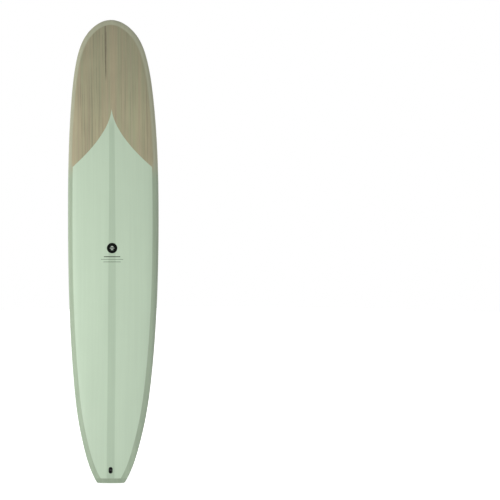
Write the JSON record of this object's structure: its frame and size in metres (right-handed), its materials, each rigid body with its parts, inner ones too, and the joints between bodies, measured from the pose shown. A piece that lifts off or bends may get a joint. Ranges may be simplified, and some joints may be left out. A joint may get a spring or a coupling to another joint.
{
  "type": "longboard surfboard",
  "caption": "Long round-nosed surfboard with a wood-veneer nose, pale green laminate, darker rails and centre strip, a fin box underneath and a leash plug on the deck.",
  "frame": {"origin": "centre of the square tail's flat end face", "axes": "+Z along the board from tail to nose, +X across it to the right of someone looking at the deck, -Y out of the deck and +Y out of the bottom"},
  "size_m": [0.577, 0.123, 2.896],
  "materials": {
    "deck_laminate": "pale mint green, clear gloss coat",
    "bottom_laminate": "pale mint green, clear gloss coat",
    "centre_strip": "darker mint green, clear gloss coat",
    "rail_band": "olive green, clear gloss coat",
    "nose_veneer": "grey-brown straight-grained veneer, clear gloss coat",
    "core_foam": "white closed-cell foam",
    "insert_foam": "dense buff foam",
    "stringer_ply": "thin plywood",
    "fitting_black": "black moulded plastic",
    "stainless": "stainless steel",
    "dark_steel": "blackened stainless steel"
  },
  "bodies": {
    "board": {"deck_nose_veneer": "nose_veneer", "bottom_nose_veneer": "nose_veneer", "deck_panel_left": "deck_laminate", "deck_panel_right": "deck_laminate", "deck_centre_strip": "centre_strip", "bottom_panel_left": "bottom_laminate", "bottom_panel_right": "bottom_laminate", "bottom_centre_strip": "centre_strip", "rail_left": "rail_band", "rail_right": "rail_band", "tail_block": "rail_band", "foam_core_left": "core_foam", "foam_core_right": "core_foam", "stringer": "stringer_ply", "fin_box_insert": "insert_foam", "leash_insert": "insert_foam", "fin_box": "fitting_black", "leash_cup": "fitting_black", "leash_pin": "dark_steel"},
    "plate": {"fin_plate": "stainless"},
    "screw": {"fin_screw": "stainless"}
  },
  "joints": [
    {"name": "plate_slide", "type": "slide", "parent": "board", "child": "plate", "axis": [0, 0.1169, 0.9931], "range_m": [0, 0.212]},
    {"name": "screw_turn", "type": "hinge", "parent": "plate", "child": "screw", "pos_m": [0, 0.01504, 0.15122], "axis": [0, 0.9931, -0.1169], "range_deg": [0, 3150]}
  ]
}
